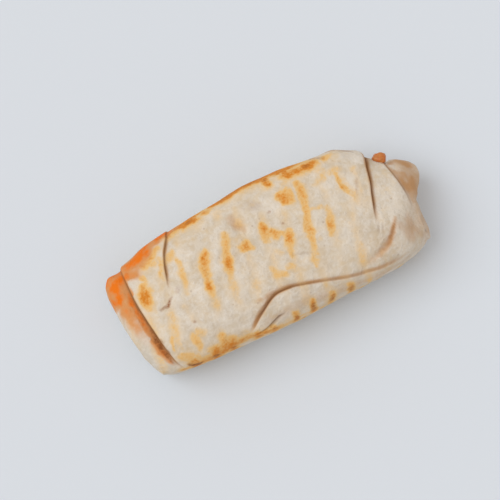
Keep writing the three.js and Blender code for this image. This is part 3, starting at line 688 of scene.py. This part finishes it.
topRawAndShade = [
    # first, painted shade in a grey raw-dough tone on the left end's lower part; then grey patches
    [(-83, -6, 4, 0.6), (-81.5, -12, 5, 1), (-80, -20, 6, 1), (-76, -28, 5, 1)], [(36, -18, 8, 0.3)],
    [(-8, 2, 7, 0.3)], [(-42, -12, 5, 0.3)],
]
topFlourAndHighlight = [
    # first, a painted highlight on the high side of the right pleat; then pale floury patches
    [(51.5, 6, 5, 0.9), (52, 12, 4, 0.6)], [(66, -12.5, 4, 0.7)], [(-25, -14, 5, 0.5), (-22, -4, 3, 0.4)],
]
sideTan = [
    [(-20, 152, 2.6, 0.3), (0, 153, 3, 0.3), (20, 160, 3.4, 0.4), (40, 167, 3.4, 0.35), (60, 166, 3, 0.3)],
    [(86, 20, 6, 0.8), (84, 160, 9, 0.5), (86, 90, 9, 0.8)],
]


def patchy(mask, p, size, seed, amount=0.35):
    # a mask whose inside is mottled by noise of a size
    return np.clip(mask * (0.95 + amount * valueNoise(p, size, seed)), 0, 1)


def shadeBesideFolds(x, angle):
    # painted shade, in tan, over each fold's lower layer: a band that fades over a distance from its edge
    band = 0 * x
    for fold in (leftRim, leftPleat, rightPleat, rightRim):
        t = fold["toward"] * (x - fold["placeAt"](angle))
        near = smoothStep(-1.4, -0.2, t) * (1 - smoothStep(0.2, fold["shadeBandReach"], t))
        band = np.maximum(band, near * np.clip(fold["turnAt"](angle) * 1.6, 0, 1))
    t = (seamAngle(x) - angle) * girthPerDegree(x, seamAngle(x))
    near = smoothStep(-1.4, -0.2, t) * (1 - smoothStep(0.2, seamShadeBandReach(x), t))
    return np.maximum(band, near * np.clip(seamTurn(x) * 1.8, 0, 1))


def touches(place, top, over, topFade, side, sideFade):
    # the strokes on top, where the skin faces up, and those on the sides
    u, v, w = place
    return np.maximum(strokeMask(u, v, top, *topFade) * over, strokeMask(u, w, roundStrokes(side), *sideFade))


def skinMarks(surface):
    # touches measured on coordinates that noise has warped, so that their edges wander
    p, angle = surface["flat"], surface["angle"]
    x, y, z = p[..., 0], p[..., 1], p[..., 2]
    warp = [1.0 * valueNoise(p, 4.2, seed) + 0.5 * valueNoise(p, 1.7, seed + 1) for seed in (41, 43)]
    u, v, w = x + warp[0], y + warp[1], arcAt(angle) + warp[1]
    level = z / topHeight(x) - rollForm["widestLevel"]
    upper = smoothStep(-0.05, 0.12, level + 0.06 * valueNoise(p, 8, 45))
    high = smoothStep(-0.35, 0.05, level + 0.25 * valueNoise(p, 7, 46))

    # bars and blotches that carry on round the sides and the underside
    signed = np.mod(angle + 90, 360) - 90
    far = smoothStep(16, 6, signed) * smoothStep(-62, -35, signed)
    near = smoothStep(172, 182, signed)
    below = smoothStep(232, 246, signed) + smoothStep(-52, -66, signed)
    field = barField(x + 1.5 * warp[0] + 3, y, 2.6)
    cloud = np.clip(0.5 + 0.9 * valueNoise(p, 13, 51) + 0.35 * valueNoise(p, 5, 52), 0, 1)
    flank = field * cloud * (0.75 * far + 0.55 * near)
    bottom = np.clip(0.75 * field * cloud + 0.3 * cloud * cloud, 0, 1) * below
    reached = 1 - surface["ended"]

    trace = 0.26 * barField(u, y, 3.4) * cloud * upper * (1 - smoothStep(52, 60, x))
    toast = touches((u, v, w), topToast, upper * 0.87, (0.2, 2.1, 0.3), sideToast, (0.1, 1.8, 0.3))
    toast = np.maximum(np.maximum(toast, trace), np.maximum(flank, bottom) * reached)
    sauce = touches((u, v, w), topSauce, high, (0.2, 1.7), sideSauce, (0.15, 1.7))
    onPanel = smoothStep(-0.3, 0.5, x - leftRim["placeAt"](angle))
    sauce = sauce * np.where(y < 10, 1 - onPanel, 1)
    scorchAndShade = touches((u, v, w), topScorchAndShade, upper, (), sideScorch, ())
    tanAndShade = touches((u, v, w), topTanAndShade, high, (0.2, 1.5), sideTan, (0, 1.6))
    tanAndShade = np.maximum(tanAndShade, shadeBesideFolds(surface["x"], angle))
    rawAndShade = strokeMask(u, v, topRawAndShade, 0.1, 1.5) * high
    flour = strokeMask(u, v, topFlourAndHighlight, 0.1, 1.6) * upper
    return {
        "rawAndShade": patchy(rawAndShade, p, 6, 65), "flour": patchy(flour, p, 3, 67), "sauce": patchy(sauce, p, 5, 62),
        "toast": patchy(patchy(toast, p, 1.9, 61, 0.22), p, 5.5, 66),
        "scorchAndShade": patchy(scorchAndShade, p, 1.8, 63), "tanAndShade": patchy(tanAndShade, p, 4, 64),
        # painted shade along the grooves
        "grooveShade": 0.75 * np.clip(strokeMask(x, arcAt(angle), roundStrokes(grooves), 0, 1.1), 0, 1),
        # painted shade inside the folds
        "creaseShade": surface["creaseShade"],
    }


def gridTriangles(index):
    # two triangles for every four neighbours of a grid that closes on itself, none without area
    a, b = index[:-1], index[1:]
    c, d = np.roll(b, -1, 1), np.roll(a, -1, 1)
    faces = np.concatenate([np.stack([a, d, c], -1).reshape(-1, 3), np.stack([a, c, b], -1).reshape(-1, 3)])
    e, f, g = faces.T
    return faces[(e != f) & (f != g) & (g != e)]


def skinFaces(columns, rows):
    # in the first and last column, the slits, the rows below the closing line share the
    # points of those above it
    j = np.arange(rows)
    index = np.arange(columns)[:, None] * rows + j[None]
    for i, w in ((0, leftEnd["firstBelow"]), (columns - 1, rightEnd["firstBelow"])):
        past = (j - w) % rows
        index[i] = i * rows + np.where(past < rows / 2, (w - past) % rows, j)
    return gridTriangles(index)


def meshFrom(name, points, faces, attributes):
    # the points that the triangles use, in metres, with a value for each point in every attribute
    used, faces = np.unique(faces, return_inverse=True)
    faces = faces.reshape(-1, 3)
    points = points.reshape(-1, 3)[used] * mm
    mesh = bpy.data.meshes.new(name)
    mesh.vertices.add(len(points))
    mesh.vertices.foreach_set("co", points.astype(np.float32).ravel())
    mesh.loops.add(faces.size)
    mesh.loops.foreach_set("vertex_index", faces.astype(np.int32).ravel())
    mesh.polygons.add(len(faces))
    mesh.polygons.foreach_set("loop_start", np.arange(0, faces.size, 3, dtype=np.int32))
    mesh.update(calc_edges=True)
    for key, values in attributes.items():
        attribute = mesh.attributes.new(key, "FLOAT", "POINT")
        attribute.data.foreach_set("value", values.reshape(-1)[used].astype(np.float32))
    mesh.shade_smooth()
    piece = bpy.data.objects.new(name, mesh)
    bpy.context.collection.objects.link(piece)
    print(name, len(points), "points", len(faces), "triangles")
    return piece


surface = buildSkin()
columns, rows = surface["x"].shape
points = surface["points"]
points[..., 2] = np.maximum(points[..., 2], 0)
cadCorners = np.array(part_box("tortilla")) / mm
ownCorners = np.array([points.reshape(-1, 3).min(0), points.reshape(-1, 3).max(0)])
shift = (cadCorners.mean(0) - ownCorners.mean(0)) * [1, 1, 0]
print("skin laid out, moved by", shift.round(2))
tortilla = meshFrom("tortillaSkin", points + shift, skinFaces(columns, rows), skinMarks(surface))
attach(tortilla, "root")
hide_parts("tortilla")

# A bit of sauced filling that sticks out beside the right end.
crumb = {"lobes": [(7, 0.16, 71), (2.6, 0.24, 72), (1.2, 0.13, 73)], "steps": (96, 64), "full": 0.97}


def buildCrumb(low, high):
    # a ball in longitude and latitude whose radius follows noise, filling the node's box
    around, up = crumb["steps"]
    longitude = np.linspace(0, 2 * np.pi, around, endpoint=False)[None, :]
    latitude = np.linspace(-np.pi / 2, np.pi / 2, up + 1)[:, None]
    ball = np.stack([np.cos(latitude) * np.cos(longitude), np.cos(latitude) * np.sin(longitude),
                     np.sin(latitude) + 0 * longitude], -1)
    middle, half = (low + high) / 2, (high - low) / 2 * crumb["full"]
    radius = 1 + sum(most * valueNoise(ball * half + 40, size, seed) for size, most, seed in crumb["lobes"])
    j = np.arange(around)
    index = np.arange(up + 1)[:, None] * around + j[None]
    index[0], index[-1] = 0, up * around
    return middle + ball * half * radius[..., None], gridTriangles(index), radius


crumbCorners = np.array(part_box("filling_crumb")) / mm
crumbPoints, crumbFaces, crumbRadius = buildCrumb(*crumbCorners)
# hollow: how far the crumb's surface dips in, which the material paints darker as shade
fillingCrumb = meshFrom("sauceCrumb", crumbPoints, crumbFaces,
                        {"hollow": np.clip((1.05 - crumbRadius) * 3, 0, 1)})
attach(fillingCrumb, "root")
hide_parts("filling_crumb")


# Materials. Colours are linear; sizes are in millimetres.
tortillaFinish = {
    "pale": (0.686, 0.612, 0.498), "beige": (0.565, 0.475, 0.365), "floury": (0.79, 0.745, 0.675),
    "dull": (0.47, 0.385, 0.275),
    "golden": (0.76, 0.575, 0.33), "rawAndShade": (0.62, 0.565, 0.475), "honey": (0.77, 0.53, 0.25),
    "amber": (0.76, 0.43, 0.135), "browned": (0.655, 0.225, 0.02),
    "scorchedAndShaded": (0.27, 0.09, 0.022), "sauceThin": (0.66, 0.295, 0.105), "sauceThick": (0.80, 0.18, 0.004),
    "tanAndShade": (0.54, 0.31, 0.15), "creaseShade": (0.20, 0.08, 0.022), "speck": (0.36, 0.26, 0.20),
    "roughness": 0.76, "toastedRoughness": 0.66, "saucedRoughness": 0.6, "specular": 0.15,
    "clouds": {  # size and spread of each mottling
        "wide": (26, 0.22), "gold": (15, 0.2), "dust": (11, 0.11), "shadows": (5.2, 0.13),
        "fine": (4.5, 0.25), "lights": (2.6, 0.13), "finest": (1.3, 0.25)},
    "grain": 0.06, "blisters": 0.2, "wrinkles": 0.07,  # heights
}
crumbFinish = {
    "bright": (0.57, 0.145, 0.02), "deepAndShade": (0.31, 0.07, 0.015), "pale": (0.60, 0.245, 0.055),
    "roughness": 0.34, "grain": 0.10,
}


def newGroup(name, inputs, outputs):
    # an empty shader node group with float or vector inputs and float outputs
    group = bpy.data.node_groups.new(name, "ShaderNodeTree")
    for key, kind in inputs.items():
        group.interface.new_socket(name=key, in_out="INPUT", socket_type=kind)
    for key in outputs:
        group.interface.new_socket(name=key, in_out="OUTPUT", socket_type="NodeSocketFloat")
    return group, group.nodes.new("NodeGroupInput"), group.nodes.new("NodeGroupOutput")


def put(tree, kind, inputs, **settings):
    # a node with its settings, and its inputs set to values or linked to other nodes' outputs
    node = tree.nodes.new(kind)
    for key, value in settings.items():
        setattr(node, key, value)
    for key, value in inputs.items():
        if isinstance(value, bpy.types.NodeSocket):
            tree.links.new(value, node.inputs[key])
        else:
            node.inputs[key].default_value = value
    return node


def sums(tree, operation, a, b=0):
    # what a Math node makes of a and b
    return put(tree, "ShaderNodeMath", {0: a, 1: b}, operation=operation).outputs[0]


def ranged(tree, value, low, high):
    # value from low to high carried smoothly onto 0 to 1
    return put(tree, "ShaderNodeMapRange", {"Value": value, "From Min": low, "From Max": high},
               interpolation_type="SMOOTHSTEP").outputs["Result"]


def noiseOf(tree, vector, size, detail, roughness=0.5):
    # noise whose features are about size millimetres wide
    scale = sums(tree, "DIVIDE", 1000, size)
    return put(tree, "ShaderNodeTexNoise", {"Vector": vector, "Scale": scale, "Detail": detail,
                                            "Roughness": roughness}).outputs["Fac"]


def mottleGroup():
    # cloudy noise stretched to run from 0 to 1
    tree, given, result = newGroup("mottle", {"Vector": "NodeSocketVector", "Size": "NodeSocketFloat",
                                              "Spread": "NodeSocketFloat"}, ["Value"])
    fac = noiseOf(tree, given.outputs["Vector"], given.outputs["Size"], 3, 0.55)
    low = sums(tree, "SUBTRACT", 0.5, given.outputs["Spread"])
    high = sums(tree, "ADD", 0.5, given.outputs["Spread"])
    tree.links.new(ranged(tree, fac, low, high), result.inputs["Value"])
    return tree


def speckGroup():
    # small spots at the middles of some cells, where another noise is high
    tree, given, result = newGroup("specks", {"Vector": "NodeSocketVector", "Size": "NodeSocketFloat",
                                              "Share": "NodeSocketFloat"}, ["Value"])
    scale = sums(tree, "DIVIDE", 1000, given.outputs["Size"])
    cells = put(tree, "ShaderNodeTexVoronoi", {"Vector": given.outputs["Vector"], "Scale": scale})
    chosen = put(tree, "ShaderNodeSeparateColor", {0: cells.outputs["Color"]}).outputs[0]
    radius = sums(tree, "MULTIPLY", given.outputs["Share"], chosen)
    spot = ranged(tree, sums(tree, "DIVIDE", cells.outputs["Distance"], radius), 1, 0.3)
    tree.links.new(spot, result.inputs["Value"])
    return tree


def wrinkleGroup():
    # thin lines where cloudy noise crosses its middle value
    tree, given, result = newGroup("wrinkleLines", {"Vector": "NodeSocketVector", "Size": "NodeSocketFloat",
                                                    "Width": "NodeSocketFloat"}, ["Value"])
    fac = noiseOf(tree, given.outputs["Vector"], given.outputs["Size"], 2)
    off = sums(tree, "ABSOLUTE", sums(tree, "SUBTRACT", fac, 0.5))
    tree.links.new(ranged(tree, off, given.outputs["Width"], 0), result.inputs["Value"])
    return tree


mottle, specks, wrinkleLines = mottleGroup(), speckGroup(), wrinkleGroup()
print("node groups made")


def grouped(tree, group, **inputs):
    # the value that a group gives for its inputs
    return put(tree, "ShaderNodeGroup", inputs, node_tree=group).outputs["Value"]


def blended(tree, share, a, b):
    # colour a going over to colour b
    a, b = ((*c, 1) if isinstance(c, tuple) else c for c in (a, b))
    node = put(tree, "ShaderNodeMix", {0: share, 6: a, 7: b}, data_type="RGBA")
    return node.outputs[2]


def materialOf(name, **fixedValues):
    material = bpy.data.materials.new(name)
    material.use_nodes = True
    tree = material.node_tree
    shader = tree.nodes["Principled BSDF"]
    for key, value in fixedValues.items():
        shader.inputs[key].default_value = value
    place = tree.nodes.new("ShaderNodeTexCoord").outputs["Object"]
    return material, tree, shader, place


def bumped(tree, shader, height, material):
    # the material, with a height in millimetres as its bump
    bump = put(tree, "ShaderNodeBump", {"Height": height, "Distance": mm, "Strength": 1})
    tree.links.new(bump.outputs["Normal"], shader.inputs["Normal"])
    return material


def times(tree, a, b):
    # a product
    return sums(tree, "MULTIPLY", a, b)


def swayed(tree, value, least, cloud, most):
    # the value times least + cloud * most
    return times(tree, value, sums(tree, "ADD", least, times(tree, cloud, most)))


def tortillaMaterial(look):
    material, tree, shader, place = materialOf("toastedTortilla", **{"Specular IOR Level": look["specular"]})
    mark = {key: put(tree, "ShaderNodeAttribute", {}, attribute_name=key).outputs["Fac"]
            for key in ("rawAndShade", "flour", "toast", "sauce", "scorchAndShade", "tanAndShade", "creaseShade", "grooveShade")}
    cloud = {key: grouped(tree, mottle, Vector=place, Size=size, Spread=spread)
             for key, (size, spread) in look["clouds"].items()}
    dots = grouped(tree, specks, Vector=place, Size=5.5, Share=0.16)
    shade = sums(tree, "ADD", times(tree, cloud["wide"], 0.6), times(tree, cloud["fine"], 0.5))
    toast = swayed(tree, mark["toast"], 0.72, cloud["finest"], 0.5)
    soaked = swayed(tree, mark["sauce"], 0.78, cloud["fine"], 0.4)
    scorchAndShade = swayed(tree, mark["scorchAndShade"], 0.6, cloud["finest"], 0.8)
    foldAndGrooveShade = sums(tree, "MAXIMUM", mark["creaseShade"], mark["grooveShade"])
    colour = blended(tree, shade, look["pale"], look["beige"])
    for share, name in (
        # dough: a dusting of flour, golden clouds, grey raw patches with painted shade, floury patches with a
        # painted highlight, dull and floury spots, tiny dark specks, and tan with painted shade
        (swayed(tree, cloud["dust"], 0.3, cloud["finest"], 0.55), "floury"),
        (times(tree, times(tree, cloud["gold"], cloud["fine"]), 0.5), "golden"),
        (mark["rawAndShade"], "rawAndShade"),
        (times(tree, mark["flour"], 0.85), "floury"),
        (times(tree, cloud["shadows"], 0.3), "dull"),
        (times(tree, cloud["lights"], 0.4), "floury"),
        (times(tree, dots, 0.45), "speck"),
        (mark["tanAndShade"], "tanAndShade"),
        # toasting: honey first, then amber, then brown where it is strongest
        (ranged(tree, toast, 0, 0.4), "honey"),
        (ranged(tree, toast, 0.18, 0.75), "amber"),
        (ranged(tree, toast, 0.45, 1.05), "browned"),
        # sauce soaked through from inside, scorched spots with painted shade along two crevices, and painted
        # shade in the folds and grooves
        (ranged(tree, soaked, 0.05, 0.55), "sauceThin"),
        (ranged(tree, soaked, 0.5, 0.95), "sauceThick"),
        (sums(tree, "MINIMUM", scorchAndShade, 1), "scorchedAndShaded"),
        (times(tree, foldAndGrooveShade, 0.86), "creaseShade"),
    ):
        colour = blended(tree, share, colour, look[name])
    tree.links.new(colour, shader.inputs["Base Color"])

    rough = look["roughness"]
    for share, name in ((toast, "toastedRoughness"), (soaked, "saucedRoughness")):
        rough = put(tree, "ShaderNodeMix", {0: share, 2: rough, 3: look[name]}).outputs[0]
    tree.links.new(rough, shader.inputs["Roughness"])

    # height: fine grain, low blisters and thin wrinkles
    grain = noiseOf(tree, place, 0.7, 3, 0.6)
    blisters = ranged(tree, noiseOf(tree, place, 2.6, 1), 0.45, 0.75)
    lines = grouped(tree, wrinkleLines, Vector=place, Size=17, Width=0.035)
    height = sums(tree, "ADD", times(tree, grain, look["grain"] * 2), times(tree, blisters, look["blisters"]))
    height = sums(tree, "SUBTRACT", height, times(tree, lines, look["wrinkles"]))
    return bumped(tree, shader, height, material)


def crumbMaterial(look):
    material, tree, shader, place = materialOf("saucedFilling", **{"Roughness": look["roughness"]})
    hollow = put(tree, "ShaderNodeAttribute", {}, attribute_name="hollow").outputs["Fac"]
    clouds = grouped(tree, mottle, Vector=place, Size=2.2, Spread=0.2)
    fine = grouped(tree, mottle, Vector=place, Size=0.7, Spread=0.25)
    colour = blended(tree, clouds, look["bright"], look["pale"])
    # painted shade in the crumb's dips
    colour = blended(tree, times(tree, hollow, 0.8), colour, look["deepAndShade"])
    colour = blended(tree, times(tree, fine, 0.3), colour, look["deepAndShade"])
    tree.links.new(colour, shader.inputs["Base Color"])
    height = times(tree, noiseOf(tree, place, 0.8, 3, 0.6), look["grain"] * 2)
    return bumped(tree, shader, height, material)


tortilla.data.materials.append(tortillaMaterial(tortillaFinish))
fillingCrumb.data.materials.append(crumbMaterial(crumbFinish))
print("materials made")

# Floor, light and camera. Directions point from the roll towards the light.
studio = {
    "floor": (0.69, 0.75, 0.82), "sky": (1.0, 0.925, 0.865), "skyStrength": 0.70,
    "sun": 1.22, "sunSpread": 46, "sunFrom": (-0.70, 0.34, 1.0), "sunColour": (0.965, 1.0, 1.03),
}
view = {"azimuth": -27.5, "elevation": 79, "distance": 800, "target": (-9.78, 6.3, 22), "lens": 108.7}

floorMesh = bpy.data.meshes.new("floor")
floorMesh.from_pydata([(-3, -3, 0), (3, -3, 0), (3, 3, 0), (-3, 3, 0)], [], [(0, 1, 2, 3)])
floor = bpy.data.objects.new("floor", floorMesh)
bpy.context.collection.objects.link(floor)
floorMaterial = materialOf("floorPaint", **{"Base Color": (*studio["floor"], 1), "Roughness": 0.9})[0]
floorMesh.materials.append(floorMaterial)

world = bpy.data.worlds.new("studio")
bpy.context.scene.world = world
world.use_nodes = True
world.node_tree.nodes["Background"].inputs["Color"].default_value = (*studio["sky"], 1)
world.node_tree.nodes["Background"].inputs["Strength"].default_value = studio["skyStrength"]

sunData = bpy.data.lights.new("window", "SUN")
sunData.energy = studio["sun"]
sunData.color = studio["sunColour"]
sunData.angle = math.radians(studio["sunSpread"])
sun = bpy.data.objects.new("window", sunData)
bpy.context.collection.objects.link(sun)
sun.rotation_mode = "QUATERNION"
sun.rotation_quaternion = (-Vector(studio["sunFrom"])).to_track_quat("-Z", "Y")

cameraData = bpy.data.cameras.new("camera")
cameraData.lens = view["lens"]
camera = bpy.data.objects.new("camera", cameraData)
bpy.context.collection.objects.link(camera)
a, e = math.radians(view["azimuth"]), math.radians(view["elevation"])
towards = Vector((math.sin(a) * math.cos(e), -math.cos(a) * math.cos(e), math.sin(e)))
camera.location = (Vector(view["target"]) + Vector(shift) + towards * view["distance"]) * mm
camera.rotation_mode = "QUATERNION"
camera.rotation_quaternion = (-towards).to_track_quat("-Z", "Y")
bpy.context.scene.camera = camera
bpy.context.scene.view_settings.view_transform = "Standard"
